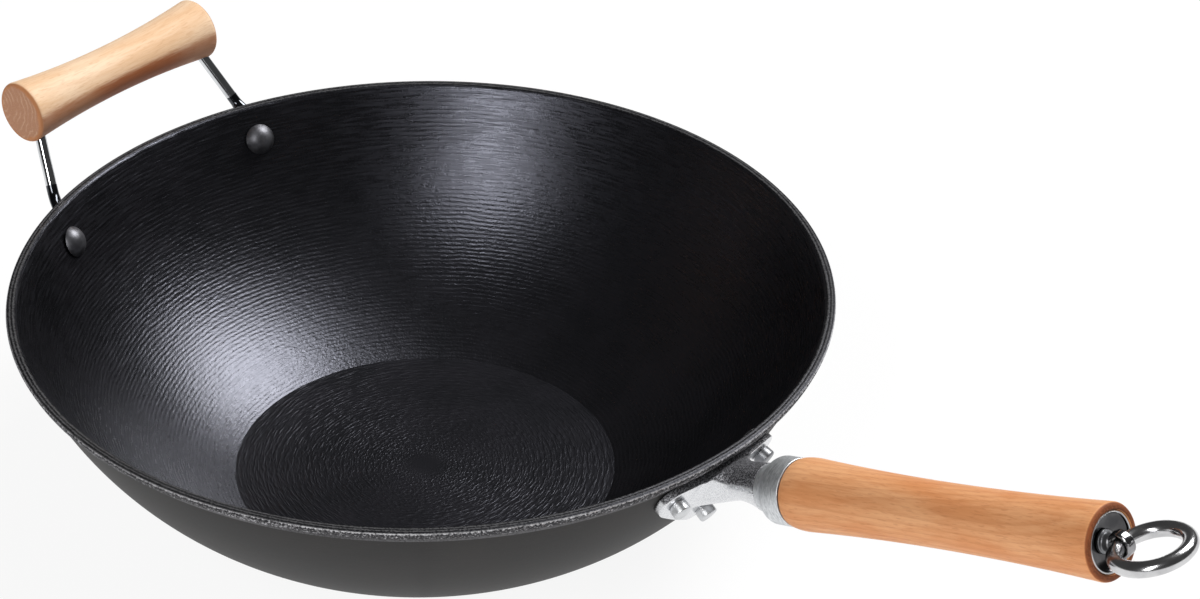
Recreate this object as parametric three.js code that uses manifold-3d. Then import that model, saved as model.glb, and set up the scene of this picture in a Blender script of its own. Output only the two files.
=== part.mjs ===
// Cast iron wok with a riveted long handle, a helper handle and a hanging ring
// Millimetres, +Z up, +X towards the long handle, origin at the centre of the base's underside
// Left and right are those of the person who holds the long handle

import * as THREE from 'three';
import { mergeVertices } from 'three/addons/utils/BufferGeometryUtils.js';
import Module from 'manifold-3d';

const wasm = await Module();
wasm.setup();

// Fits
const seatGap = 0.3; // between pieces that are riveted or clamped together
const boreClearance = 0.35; // all round a rivet, leg or rod in its hole

// Bowl
const rimRadius = 178;
const bowlHeight = 96.5;
const baseRadius = 82.4;
const wallThickness = 3.3;
const floorThickness = 4;
const wallBulge = 13.1; // how far the wall bows out of the straight line from base to rim
const lipOverhang = 5.6; // lip past the wall below it
const lipFlank = 3.6; // height of the lip's outer face
const lipLean = 1.6; // how far that face leans in towards its foot
const lipUndercut = 2.4; // height of the slope under the lip
const lipWidth = 4.4; // flat top of the lip
const lipRound = 0.8; // outer edge of the top
const lipChamfer = 1; // inner edge of the top
const lipFlare = 4.2; // height of the flared edge inside the lip

// Rivets: head inside the bowl, plain tail outside
const rivetDiameter = 6.4;
const headDiameter = 14;
const domedHeadHeight = 4.2; // helper handle
const lowHeadHeight = 1.6; // long handle
const tailDiameter = 8.2;
const tailLength = 4.4;
const tailBevel = 0.8;

// Helper handle
const helperLength = 106.4;
const helperEndDiameter = 28.6;
const helperWaistDiameter = 22.2;
const helperEndRound = 1.6;
const helperOutset = 19.2; // grip's axis past the rim
const helperRise = 29.5; // grip's axis above the rim
const legDiameter = 5;
const legInset = 7.6; // leg's centre line from the grip's end, on the grip's axis
const legPlug = 4; // how far the leg runs past the grip's axis
const kneeOutset = 6.7; // leg's centre line past the rim, at the knee
const kneeDrop = 1.5; // knee below the rim
const kneeAzimuth = 17.4; // degrees from the helper handle's middle
const footAzimuth = 20.7; // degrees from the middle of the two feet, at the rivet
const footDrift = 2.3; // degrees that both feet sit round to the left of the grip's middle
const footDrop = 9.4; // lip to the feet's rivets, down along the wall
const footWidth = 12.5;
const footHeelWidth = 10; // where the round rod has become flat
const footTipWidth = 5.2; // flat at the foot's end
const footThickness = 2.6;

// Yoke: saddle riveted to the wall and neck that carries the handle
const earAzimuth = 8.5; // degrees from the handle's middle to each ear and its rivet
const earRadius = 8.7;
const earClearance = 1.4; // lip to the top of the ears, down along the wall
const rootDrop = 3.5; // middle of the ears to where the handle's axis meets the wall
const toeDrop = 20.7; // middle of the ears to the middle of the toe
const toeRadius = 9;
const saddleThickness = 3.6;
const handleSlope = 18.9; // degrees above level
const neckLength = 32; // from the wall to the neck's end, along the handle's axis
const neckDiameter = 20.4; // round end
const neckRootWidth = 38; // where the neck grows out of the saddle
const neckRootDepth = 22;
const neckWaistWidth = 18.6; // slimmest place
const neckWaistDepth = 15.8;
const neckWaistAt = 0.6; // share of the neck's length
const neckArch = 1.8; // how far the neck bows up
const rodSocketDepth = 18;

// Ferrule and long grip
const ferruleLength = 16.6;
const ferruleDiameter = 28.2;
const ferruleCollar = 0.8; // plain length before the cone
const ferruleCone = 8; // length of the cone
const tenonLength = 7;
const tenonDiameter = 24.2;
const gripLength = 159;
const gripFrontDiameter = 29.8;
const gripWaistDiameter = 26.2;
const gripEndDiameter = 30.8;
const gripWaistAt = 0.45; // share of the length from the shoulder to the rounded end
const shoulderLength = 8;
const shoulderDrop = 1.4;
const gripEndRound = 2;

// Tie rod, end cup and hanging ring
const rodDiameter = 7;
const cupDiameter = 24.4;
const cupInset = 1.5; // cup's edge below the end of the wood
const cupDepth = 3;
const cupThickness = 1;
const cupFlat = 11; // diameter of the flat that the rod's collar bears on
const collarDiameter = 9.8;
const collarThickness = 1.4;
const eyeReach = 4.2; // eye's centre past the end of the grip
const eyeHole = 7.2;
const eyeDiameter = 11;
const eyeThickness = 4.4;
const eyeBevel = 0.8;
const ringDiameter = 29.2; // to the middle of the wire
const ringWire = 6.4;
const eyeRoll = 5; // degrees that the eye stands turned about the handle's axis

// Facets
const bowlSides = 64;
const turnedSides = 28;
const smallSides = 16;
const arcSteps = 9;
const roundSteps = 3; // small rounded edges

const castIron = new THREE.MeshStandardMaterial({ color: 0x2b2c30, roughness: 0.55, metalness: 0.6 });
const paleWood = new THREE.MeshStandardMaterial({ color: 0xe6c9a0, roughness: 0.5, metalness: 0 });
const warmWood = new THREE.MeshStandardMaterial({ color: 0xd0a274, roughness: 0.5, metalness: 0 });
const castMetal = new THREE.MeshStandardMaterial({ color: 0xb9bcc0, roughness: 0.5, metalness: 0.9 });
const brushedMetal = new THREE.MeshStandardMaterial({ color: 0xb4b9bf, roughness: 0.35, metalness: 1 });
const rivetMetal = new THREE.MeshStandardMaterial({ color: 0x6a6c70, roughness: 0.4, metalness: 0.9 });
const chrome = new THREE.MeshStandardMaterial({ color: 0xd4d6d8, roughness: 0.1, metalness: 1 });

const radians = THREE.MathUtils.degToRad;
const point = (x, y) => new THREE.Vector2(x, y);
const { lerp, smoothstep } = THREE.MathUtils;

// Size at a share of a waisted length, with its sizes at the start, the waist and the end
function waisted(share, waistAt, start, waist, end) {
  const far = share < waistAt ? 0 : 1;
  const grown = (share < waistAt ? start : end) - waist;
  return waist + grown * ((share - waistAt) / (far - waistAt)) ** 2;
}

// Closed body from a geometry: corners welded and flat slivers dropped
function solid(geometry) {
  const bare = new THREE.BufferGeometry();
  bare.setAttribute('position', geometry.getAttribute('position'));
  bare.setIndex(geometry.index);
  const welded = mergeVertices(bare, 1e-4);
  const corners = welded.index.array;
  const triangles = [];
  for (let i = 0; i < corners.length; i += 3) {
    const [a, b, c] = corners.slice(i, i + 3);
    if (a !== b && b !== c && c !== a) triangles.push(a, b, c);
  }
  const vertProperties = new Float32Array(welded.getAttribute('position').array);
  const triVerts = new Uint32Array(triangles);
  return new wasm.Manifold(new wasm.Mesh({ numProp: 3, vertProperties, triVerts }));
}

function geometryOf(body) {
  const { vertProperties, triVerts } = body.getMesh();
  const geometry = new THREE.BufferGeometry();
  geometry.setAttribute('position', new THREE.Float32BufferAttribute(vertProperties, 3));
  geometry.setIndex(new THREE.Uint32BufferAttribute(triVerts, 1));
  geometry.computeVertexNormals();
  return geometry;
}

function named(name, geometry, material) {
  const mesh = new THREE.Mesh(geometry, material);
  mesh.name = name;
  return mesh;
}

// Points along an arc of a profile, from one angle to another
function arc(centre, radius, from, to, steps) {
  const points = [];
  for (let i = 0; i <= steps; i++) {
    const angle = from + ((to - from) * i) / steps;
    points.push(point(centre.x + radius * Math.cos(angle), centre.y + radius * Math.sin(angle)));
  }
  return points;
}

// Cylinder from one place to another
function rod(from, to, radius, sides = smallSides) {
  const along = to.clone().sub(from);
  const upright = new THREE.Vector3(0, 1, 0);
  const turn = new THREE.Quaternion().setFromUnitVectors(upright, along.clone().normalize());
  const middle = from.clone().add(to).multiplyScalar(0.5);
  const geometry = new THREE.CylinderGeometry(radius, radius, along.length(), sides);
  return geometry.applyQuaternion(turn).translate(middle.x, middle.y, middle.z);
}

// One ring of a loft: a superellipse, boxier as its squareness rises
const roundSquareness = 2;
const plateSquareness = 5;

function section({ centre, along, facing, width, thickness, squareness }, sides = smallSides) {
  const across = facing.clone().cross(along).normalize();
  const through = along.clone().cross(across).normalize();
  const swell = (value) => Math.sign(value) * Math.abs(value) ** (2 / squareness);
  return Array.from({ length: sides }, (_, i) => {
    const angle = (2 * Math.PI * (i + 0.5)) / sides;
    return centre
      .clone()
      .addScaledVector(across, (swell(Math.cos(angle)) * width) / 2)
      .addScaledVector(through, (swell(Math.sin(angle)) * thickness) / 2);
  });
}

// Skin over a row of rings, closed at both ends
function loft(rings) {
  const sides = rings[0].length;
  const last = (rings.length - 1) * sides;
  const index = [];
  for (let start = 0; start < last; start += sides) {
    for (let i = 0; i < sides; i++) {
      const a = start + i;
      const b = start + ((i + 1) % sides);
      index.push(a, b, b + sides, a, b + sides, a + sides);
    }
  }
  for (let i = 1; i + 1 < sides; i++) {
    index.push(0, i + 1, i, last, last + i, last + i + 1);
  }
  const geometry = new THREE.BufferGeometry().setFromPoints(rings.flat());
  return geometry.setIndex(index);
}

// Outer wall: an arc from the base to the foot of the lip
const wallFoot = point(baseRadius, 0);
const wallTop = point(rimRadius - lipOverhang, bowlHeight - lipFlank - lipUndercut);
const wallChord = wallTop.clone().sub(wallFoot);
const wallRadius = (wallChord.lengthSq() / 4 + wallBulge ** 2) / (2 * wallBulge);
const wallCentre = wallFoot
  .clone()
  .add(wallTop)
  .multiplyScalar(0.5)
  .addScaledVector(point(wallChord.y, -wallChord.x).normalize(), wallBulge - wallRadius);

// Angle on an arc about the wall's centre at a height above the table
const angleAt = (height, radius) => Math.asin((height - wallCentre.y) / radius);

// Stretch of the wall, moved out by an offset, between two heights of the moved arc
function wallArc(offset, from, to) {
  const radius = wallRadius + offset;
  return arc(wallCentre, radius, angleAt(from, radius), angleAt(to, radius), arcSteps);
}

// Angle on that arc at a distance below the lip, down along the wall
const angleBelowLip = (drop) => angleAt(wallTop.y, wallRadius) - drop / wallRadius;

// Place on the outer wall, with the direction that the wall faces there
function wallSeat(azimuth, drop) {
  const angle = angleBelowLip(drop);
  const out = new THREE.Vector3(Math.cos(azimuth), Math.sin(azimuth), 0);
  const normal = out.clone().multiplyScalar(Math.cos(angle)).setZ(Math.sin(angle));
  const height = wallCentre.y + wallRadius * Math.sin(angle);
  const place = out.multiplyScalar(wallCentre.x + wallRadius * Math.cos(angle)).setZ(height);
  return { place, normal };
}

const helperMiddle = Math.PI;
const feet = {
  left: wallSeat(helperMiddle + radians(footDrift + footAzimuth), footDrop),
  right: wallSeat(helperMiddle + radians(footDrift - footAzimuth), footDrop),
};
const earDrop = earClearance + earRadius;
const saddleSeats = {
  left: wallSeat(-radians(earAzimuth), earDrop),
  right: wallSeat(radians(earAzimuth), earDrop),
  lower: wallSeat(0, earDrop + toeDrop),
};
const handleSeat = wallSeat(0, earDrop + rootDrop);

// Hole for a rivet, square to the wall
function rivetHole({ place, normal }) {
  const reach = 2 * (wallThickness + saddleThickness + footThickness);
  const from = place.clone().addScaledVector(normal, -reach);
  const to = place.clone().addScaledVector(normal, reach);
  return solid(rod(from, to, rivetDiameter / 2 + boreClearance));
}

function wokBowl() {
  const inner = -wallThickness;
  const lipFoot = point(rimRadius - lipLean, bowlHeight - lipFlank);
  const profile = [
    point(0, 0),
    ...wallArc(0, 0, wallTop.y),
    lipFoot,
    point(rimRadius, bowlHeight - lipRound),
    point(rimRadius - lipRound, bowlHeight),
    point(rimRadius - lipWidth, bowlHeight),
    point(rimRadius - lipWidth - lipChamfer, bowlHeight - lipChamfer),
    ...wallArc(inner, bowlHeight - lipFlare, floorThickness),
    point(0, floorThickness),
  ];
  let bowl = solid(new THREE.LatheGeometry(profile, bowlSides).rotateX(Math.PI / 2));
  for (const seat of [...Object.values(feet), ...Object.values(saddleSeats)]) {
    bowl = bowl.subtract(rivetHole(seat));
  }
  return named('wok_bowl', geometryOf(bowl), castIron);
}

// Rivet square to the wall: its own Y runs outwards, from zero on the outer wall
function rivet(name, { place, normal }, headHeight, clampedThickness, material) {
  const headRadius = headDiameter / 2;
  const dome = (headRadius ** 2 + headHeight ** 2) / (2 * headHeight);
  const hollow = headRadius ** 2 / (2 * (wallRadius - wallThickness)); // wall's curve under the head
  const facetRise = rimRadius * (1 - Math.cos(Math.PI / bowlSides)); // flat sides of the round wall
  const headSeat = -wallThickness - hollow - facetRise - seatGap;
  const tailSeat = clampedThickness + seatGap;
  const tailEnd = tailSeat + tailLength;
  const domeCentre = point(0, headSeat - headHeight + dome);
  const domeEdge = Math.asin(headRadius / dome);
  const domeSteps = 5;
  const profile = [
    ...arc(domeCentre, dome, -Math.PI / 2, domeEdge - Math.PI / 2, domeSteps),
    point(rivetDiameter / 2, headSeat),
    point(rivetDiameter / 2, tailSeat),
    point(tailDiameter / 2, tailSeat),
    point(tailDiameter / 2, tailEnd - tailBevel),
    point(tailDiameter / 2 - tailBevel, tailEnd),
    point(0, tailEnd),
  ];
  const mesh = named(name, new THREE.LatheGeometry(profile, smallSides), material);
  mesh.position.copy(place);
  mesh.quaternion.setFromUnitVectors(new THREE.Vector3(0, 1, 0), normal);
  return mesh;
}

// Helper handle: the leg's line runs from the grip's axis to a knee just outside the rim
const helperAxis = new THREE.Vector3(-rimRadius - helperOutset, 0, bowlHeight + helperRise);
const legSides = { left: -1, right: 1 };

function legLine(side) {
  const azimuth = helperMiddle - legSides[side] * radians(kneeAzimuth);
  const knee = new THREE.Vector3(Math.cos(azimuth), Math.sin(azimuth), 0)
    .multiplyScalar(rimRadius + kneeOutset)
    .setZ(bowlHeight - kneeDrop);
  const top = helperAxis.clone().setY(legSides[side] * (helperLength / 2 - legInset));
  const along = knee.clone().sub(top).normalize();
  return { top, knee, along, end: top.clone().addScaledVector(along, -legPlug) };
}

function helperGrip() {
  const half = helperLength / 2;
  const waist = helperWaistDiameter / 2;
  const end = helperEndDiameter / 2;
  const rise = end - waist;
  const sweep = (half ** 2 + rise ** 2) / (2 * rise);
  const bow = Math.asin((half - helperEndRound) / sweep);
  const flank = arc(point(waist + sweep, 0), sweep, Math.PI + bow, Math.PI - bow, arcSteps);
  const endRadius = flank[0].x - helperEndRound;
  const edge = (middle, from) => arc(middle, helperEndRound, from, from + Math.PI / 2, roundSteps);
  const profile = [
    point(0, -half),
    ...edge(point(endRadius, helperEndRound - half), -Math.PI / 2).slice(0, -1),
    ...flank,
    ...edge(point(endRadius, half - helperEndRound), 0).slice(1),
    point(0, half),
  ];
  let grip = solid(new THREE.LatheGeometry(profile, turnedSides));
  for (const side of Object.keys(legSides)) {
    const { end: tip, knee, along } = legLine(side);
    const from = tip.clone().addScaledVector(along, -seatGap).sub(helperAxis);
    const hole = rod(from, knee.sub(helperAxis), legDiameter / 2 + boreClearance);
    grip = grip.subtract(solid(hole));
  }
  const mesh = named('helper_grip', geometryOf(grip), paleWood);
  mesh.position.copy(helperAxis);
  return mesh;
}

// Leg: round rod that is flattened below the knee to a foot on the wall
function helperLeg(side) {
  const { knee, along, end } = legLine(side);
  const { place, normal } = feet[side];
  const foot = place.clone().addScaledVector(normal, seatGap + footThickness / 2);
  const run = foot.clone().sub(knee);
  const down = run.addScaledVector(normal, -run.dot(normal)).normalize();
  const footRadius = footWidth / 2;
  const onFoot = (distance) => foot.clone().addScaledVector(down, distance);
  const heel = onFoot(-footRadius);
  const pull = knee.distanceTo(heel) / 3;
  const bend = new THREE.CubicBezierCurve3(
    knee,
    knee.clone().addScaledVector(along, pull),
    heel.clone().addScaledVector(down, -pull),
    heel,
  );
  const round = { facing: normal, width: legDiameter, thickness: legDiameter, squareness: roundSquareness };
  const flat = { facing: normal, along: down, thickness: footThickness, squareness: plateSquareness };
  const bendSteps = 7;
  const tipSteps = 6;
  const tipAngle = Math.PI - Math.asin(footTipWidth / footWidth);
  const rings = [section({ ...round, centre: end, along })];
  for (let i = 0; i <= bendSteps; i++) {
    const share = i / bendSteps;
    const pressed = smoothstep(share, 0, 1);
    rings.push(
      section({
        centre: bend.getPoint(share),
        along: bend.getTangent(share),
        facing: normal,
        width: lerp(legDiameter, footHeelWidth, pressed),
        thickness: lerp(legDiameter, footThickness, pressed),
        squareness: lerp(roundSquareness, plateSquareness, pressed),
      }),
    );
  }
  for (let i = 1; i <= tipSteps; i++) {
    const angle = (tipAngle * i) / tipSteps;
    const distance = -footRadius * Math.cos(angle);
    const width = Math.max(footWidth * Math.sin(angle), distance < 0 ? footHeelWidth : 0);
    rings.push(section({ ...flat, centre: onFoot(distance), width }));
  }
  const body = solid(loft(rings)).subtract(rivetHole(feet[side]));
  return named(`helper_leg_${side}`, geometryOf(body), chrome);
}

// Handle's frame: Y along the handle from the wall, X up and Z to the right of the handle
const handleRoot = handleSeat.place;
const slope = radians(handleSlope);
const handleAlong = new THREE.Vector3(Math.cos(slope), 0, Math.sin(slope));
const handleUp = new THREE.Vector3(-Math.sin(slope), 0, Math.cos(slope));
const rightward = new THREE.Vector3(0, 1, 0);
const onHandle = (distance) => handleRoot.clone().addScaledVector(handleAlong, distance);
const ferruleStart = neckLength + seatGap;
const gripStart = ferruleStart + ferruleLength + seatGap;
const gripEnd = gripStart + gripLength;
const pocketFloor = gripStart - tenonLength - seatGap;
const cupFloor = gripEnd - cupInset - cupDepth;
const rodStart = neckLength - rodSocketDepth;

// Outline round discs, given anticlockwise
function roundedOutline(discs) {
  const facing = discs.map((disc, i) => {
    const next = discs[(i + 1) % discs.length];
    const run = next.middle.clone().sub(disc.middle);
    return run.angle() - Math.acos((disc.radius - next.radius) / run.length());
  });
  const outline = new THREE.Shape();
  discs.forEach(({ middle, radius }, i) => {
    const from = facing[(i + discs.length - 1) % discs.length];
    outline.absarc(middle.x, middle.y, radius, from, facing[i], false);
  });
  return outline;
}

// Saddle: an outline with an ear at each upper rivet and a toe at the lower one, bent to the wall
function saddle() {
  const middle = wallSeat(0, earDrop);
  const upward = middle.normal.clone().cross(rightward);
  const flatten = ({ place }) => {
    const offset = place.clone().sub(middle.place);
    return point(offset.dot(rightward), offset.dot(upward));
  };
  const outline = roundedOutline([
    { middle: flatten(saddleSeats.left), radius: earRadius },
    { middle: flatten(saddleSeats.lower), radius: toeRadius },
    { middle: flatten(saddleSeats.right), radius: earRadius },
  ]);
  const depth = 4 * (saddleThickness + wallThickness);
  const blank = new THREE.ExtrudeGeometry(outline, { depth, bevelEnabled: false, curveSegments: 10 });
  blank.translate(0, 0, -depth / 2);
  blank.applyMatrix4(new THREE.Matrix4().makeBasis(rightward, upward, middle.normal));
  blank.translate(...middle.place);
  const low = angleBelowLip(earDrop + toeDrop + 2 * toeRadius);
  const high = angleBelowLip(0);
  const face = arc(wallCentre, wallRadius + seatGap, low, high, 2 * arcSteps);
  const back = arc(wallCentre, wallRadius + seatGap + saddleThickness, low, high, 2 * arcSteps);
  const shell = new THREE.LatheGeometry([...back, ...face.reverse(), back[0]], bowlSides);
  return solid(blank).intersect(solid(shell.rotateX(Math.PI / 2)));
}

// Neck: grows out of the saddle, slims to a waist and ends round where the ferrule sits
function neck() {
  const { place, normal } = handleSeat;
  const path = new THREE.QuadraticBezierCurve3(
    place.clone().addScaledVector(normal, seatGap + saddleThickness / 2),
    onHandle(neckLength / 2).addScaledVector(handleUp, 2 * neckArch),
    onHandle(neckLength),
  );
  const rings = Array.from({ length: arcSteps + 1 }, (_, i) => {
    const share = i / arcSteps;
    const turned = smoothstep(share, 0, neckWaistAt);
    return section({
      centre: path.getPoint(share),
      along: normal.clone().lerp(handleAlong, turned).normalize(),
      facing: handleUp,
      width: waisted(share, neckWaistAt, neckRootWidth, neckWaistWidth, neckDiameter),
      thickness: waisted(share, neckWaistAt, neckRootDepth, neckWaistDepth, neckDiameter),
      squareness: lerp(plateSquareness, roundSquareness, turned),
    });
  });
  return solid(loft(rings));
}

function handleYoke() {
  const socket = rod(onHandle(rodStart - seatGap), onHandle(ferruleStart), rodDiameter / 2 + boreClearance);
  let yoke = saddle().add(neck()).subtract(solid(socket));
  for (const seat of Object.values(saddleSeats)) {
    yoke = yoke.subtract(rivetHole(seat));
  }
  return named('handle_yoke', geometryOf(yoke), castMetal);
}

function ferrule() {
  const neckRadius = neckDiameter / 2;
  const radius = ferruleDiameter / 2;
  const end = ferruleStart + ferruleLength;
  const coneStart = ferruleStart + ferruleCollar;
  const cone = new THREE.CubicBezierCurve(
    point(neckRadius, coneStart),
    point(neckRadius, coneStart + ferruleCone / 2),
    point(radius, coneStart + ferruleCone / 2),
    point(radius, coneStart + ferruleCone),
  );
  const hole = rodDiameter / 2 + boreClearance;
  const pocket = tenonDiameter / 2 + boreClearance;
  const profile = [
    point(hole, ferruleStart),
    point(neckRadius, ferruleStart),
    ...cone.getPoints(8),
    point(radius, end),
    point(pocket, end),
    point(pocket, pocketFloor),
    point(hole, pocketFloor),
    point(hole, ferruleStart),
  ];
  return named('ferrule', new THREE.LatheGeometry(profile, turnedSides), brushedMetal);
}

// Dish of the end cup, moved down and widened: flat floor and curved side up to the rim
function cupDish(moved, widened = 0) {
  const rim = gripEnd - cupInset - moved;
  const floor = rim - cupDepth;
  const edge = cupDiameter / 2 + widened;
  const side = new THREE.QuadraticBezierCurve(
    point(cupFlat / 2 + widened, floor),
    point(edge - cupDepth / 2, floor),
    point(edge, rim),
  );
  return side.getPoints(4);
}

function handleGrip() {
  const bore = rodDiameter / 2 + boreClearance;
  const front = gripFrontDiameter / 2;
  const end = gripEndDiameter / 2;
  const shoulderAt = gripStart + shoulderLength;
  const sideEnd = gripEnd - gripEndRound;
  const shoulder = new THREE.EllipseCurve(
    front - shoulderDrop,
    shoulderAt,
    shoulderDrop,
    shoulderLength,
    -Math.PI / 2,
    0,
  );
  const flankSteps = 10;
  const flank = Array.from({ length: flankSteps }, (_, i) => {
    const share = (i + 1) / flankSteps;
    const radius = waisted(share, gripWaistAt, front, gripWaistDiameter / 2, end);
    return point(radius, lerp(shoulderAt, sideEnd, share));
  });
  const seat = cupThickness + seatGap;
  const profile = [
    point(bore, gripStart - tenonLength),
    point(tenonDiameter / 2, gripStart - tenonLength),
    point(tenonDiameter / 2, gripStart),
    ...shoulder.getPoints(4),
    ...flank,
    ...arc(point(end - gripEndRound, sideEnd), gripEndRound, 0, Math.PI / 2, roundSteps).slice(1),
    point(cupDiameter / 2 + seatGap, gripEnd),
    ...cupDish(seat, seatGap).reverse(),
    point(bore, cupFloor - seat),
    point(bore, gripStart - tenonLength),
  ];
  return named('handle_grip', new THREE.LatheGeometry(profile, turnedSides), warmWood);
}

function endCup() {
  const hole = rodDiameter / 2 + boreClearance;
  const under = cupDish(cupThickness);
  const over = cupDish(0).reverse();
  const profile = [
    point(hole, under[0].y),
    ...under,
    ...over,
    point(hole, cupFloor),
    point(hole, under[0].y),
  ];
  return named('end_cup', new THREE.LatheGeometry(profile, turnedSides), chrome);
}

// Tie rod: plain shank, a collar that bears on the cup, and the eye
const eyeCentre = gripEnd + eyeReach;

function tieRod() {
  const radius = rodDiameter / 2;
  const collarSeat = cupFloor + seatGap;
  const shank = [
    point(0, rodStart),
    point(radius, rodStart),
    point(radius, collarSeat),
    point(collarDiameter / 2, collarSeat),
    point(collarDiameter / 2, collarSeat + collarThickness),
    point(radius, collarSeat + collarThickness),
    point(radius, eyeCentre),
    point(0, eyeCentre),
  ];
  const outer = eyeDiameter / 2;
  const half = eyeThickness / 2;
  const disc = [
    point(0, -half),
    point(outer - eyeBevel, -half),
    point(outer, eyeBevel - half),
    point(outer, half - eyeBevel),
    point(outer - eyeBevel, half),
    point(0, half),
  ];
  const across = (geometry) => solid(geometry.rotateX(Math.PI / 2).translate(0, eyeCentre, 0));
  const hole = new THREE.CylinderGeometry(eyeHole / 2, eyeHole / 2, 2 * eyeThickness, smallSides);
  const body = solid(new THREE.LatheGeometry(shank, smallSides))
    .add(across(new THREE.LatheGeometry(disc, turnedSides)))
    .subtract(across(hole));
  return named('tie_rod', geometryOf(body), chrome);
}

function hangingRing() {
  const geometry = new THREE.TorusGeometry(ringDiameter / 2, ringWire / 2, 12, 36);
  const mesh = named('hanging_ring', geometry.rotateY(Math.PI / 2), chrome);
  mesh.position.y = eyeCentre + ringDiameter / 2;
  return mesh;
}

const wok = new THREE.Group();
wok.add(wokBowl());

wok.add(helperGrip());
for (const [side, seat] of Object.entries(feet)) {
  wok.add(helperLeg(side));
  wok.add(rivet(`helper_rivet_${side}`, seat, domedHeadHeight, seatGap + footThickness, rivetMetal));
}

wok.add(handleYoke());
for (const [side, seat] of Object.entries(saddleSeats)) {
  wok.add(rivet(`yoke_rivet_${side}`, seat, lowHeadHeight, seatGap + saddleThickness, castMetal));
}

const handle = new THREE.Group();
handle.position.copy(handleRoot);
handle.quaternion.setFromRotationMatrix(new THREE.Matrix4().makeBasis(handleUp, handleAlong, rightward));
handle.add(ferrule(), handleGrip(), endCup());

const hanger = new THREE.Group();
hanger.rotation.y = radians(eyeRoll);
hanger.add(tieRod(), hangingRing());
handle.add(hanger);
wok.add(handle);

export default wok;
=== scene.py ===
# Cast iron wok with wooden handles: fine surfaces, finishes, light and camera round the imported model
import math

import bmesh
import bpy
from mathutils import Matrix, Vector


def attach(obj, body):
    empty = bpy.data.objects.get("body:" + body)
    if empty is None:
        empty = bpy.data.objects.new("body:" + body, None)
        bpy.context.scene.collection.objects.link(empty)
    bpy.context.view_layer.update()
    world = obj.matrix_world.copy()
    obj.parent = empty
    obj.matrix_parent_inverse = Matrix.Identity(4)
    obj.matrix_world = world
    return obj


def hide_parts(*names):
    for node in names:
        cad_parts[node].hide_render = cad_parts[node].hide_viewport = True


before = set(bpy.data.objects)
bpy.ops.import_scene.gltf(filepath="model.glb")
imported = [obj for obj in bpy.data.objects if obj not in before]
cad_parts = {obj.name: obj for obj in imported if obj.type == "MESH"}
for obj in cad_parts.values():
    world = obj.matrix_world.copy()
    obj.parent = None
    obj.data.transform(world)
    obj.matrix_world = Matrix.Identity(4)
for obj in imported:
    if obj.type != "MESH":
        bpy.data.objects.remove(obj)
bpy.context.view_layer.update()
mm = 0.001  # sizes below are in millimetres
print("frame loaded:", len(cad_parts), "nodes")


# Shader maths: a wrapped socket adds Math nodes as it is used in expressions
class Value:
    def __init__(self, nodes, socket):
        self.nodes = nodes
        self.socket = socket

    def math(self, operation, *others):
        made = self.nodes.node("ShaderNodeMath", {"operation": operation}, {})
        for slot, item in zip(made.inputs, (self, *others)):
            self.nodes.feed(slot, item)
        return Value(self.nodes, made.outputs[0])

    def __add__(self, other):
        return self.math("ADD", other)

    def __sub__(self, other):
        return self.math("SUBTRACT", other)

    def __rsub__(self, other):
        return self * -1 + other

    def __mul__(self, other):
        return self.math("MULTIPLY", other)

    def __truediv__(self, other):
        return self.math("DIVIDE", other)

    def __pow__(self, other):
        return self.math("POWER", other)

    def between(self, low, high):  # smooth step from 0 at low to 1 at high
        inputs = {"Value": self, "From Min": low, "From Max": high}
        made = self.nodes.node("ShaderNodeMapRange", {"interpolation_type": "SMOOTHSTEP"}, inputs)
        return Value(self.nodes, made.outputs["Result"])

    def wave(self):
        return (self * (2 * math.pi)).math("SINE")


class Nodes:
    def __init__(self, owner):
        owner.use_nodes = True
        self.tree = owner.node_tree

    def feed(self, slot, item):
        if isinstance(item, Value):
            item = item.socket
        if isinstance(item, bpy.types.NodeSocket):
            self.tree.links.new(item, slot)
        else:
            slot.default_value = item

    def node(self, kind, settings, inputs):
        made = self.tree.nodes.new(kind)
        for key, item in settings.items():
            setattr(made, key, item)
        for key, item in inputs.items():
            self.feed(made.inputs[key], item)
        return made

    def split(self, kind):
        coords = self.node("ShaderNodeTexCoord", {}, {})
        parts = self.node("ShaderNodeSeparateXYZ", {}, {"Vector": coords.outputs[kind]})
        return [Value(self, out) for out in parts.outputs]


class Finish(Nodes):
    def __init__(self, name):
        self.material = bpy.data.materials.new(name)
        super().__init__(self.material)
        self.shader = self.tree.nodes["Principled BSDF"]
        self.surface = self.tree.nodes["Material Output"].inputs["Surface"]

    def set(self, **items):
        for key, item in items.items():
            self.feed(self.shader.inputs[key.replace("_", " ")], item)

    def noise(self, x, y, z, detail=2.0, roughness=0.5):
        place = self.node("ShaderNodeCombineXYZ", {}, {"X": x, "Y": y, "Z": z})
        inputs = {"Vector": place.outputs[0], "Scale": 1.0, "Detail": detail, "Roughness": roughness}
        return Value(self, self.node("ShaderNodeTexNoise", {}, inputs).outputs[0])

    def grain(self, size, detail=3.0, roughness=0.6):  # even noise with cells of this size
        x, y, z = [part / (size * mm) for part in self.split("Object")]
        return self.noise(x, y, z, detail, roughness)

    def blend(self, share, first, second):
        made = self.node("ShaderNodeMix", {"data_type": "RGBA"}, {0: share})
        for slot, item in zip((made.inputs[6], made.inputs[7]), (first, second)):
            self.feed(slot, (*item, 1.0) if isinstance(item, tuple) else item)
        return made.outputs[2]

    def bump(self, height, strength, depth):
        inputs = {"Height": height, "Strength": strength, "Distance": depth * mm}
        return self.node("ShaderNodeBump", {}, inputs).outputs["Normal"]


def srgb(*levels):
    shares = [level / 255 for level in levels]
    return tuple(s / 12.92 if s <= 0.04045 else ((s + 0.055) / 1.055) ** 2.4 for s in shares)


# Outlines
def arcPoints(centre, radius, start, end, steps):
    turns = [start + (end - start) * i / steps for i in range(steps + 1)]
    return [(centre[0] + radius * math.cos(t), centre[1] + radius * math.sin(t)) for t in turns]


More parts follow.
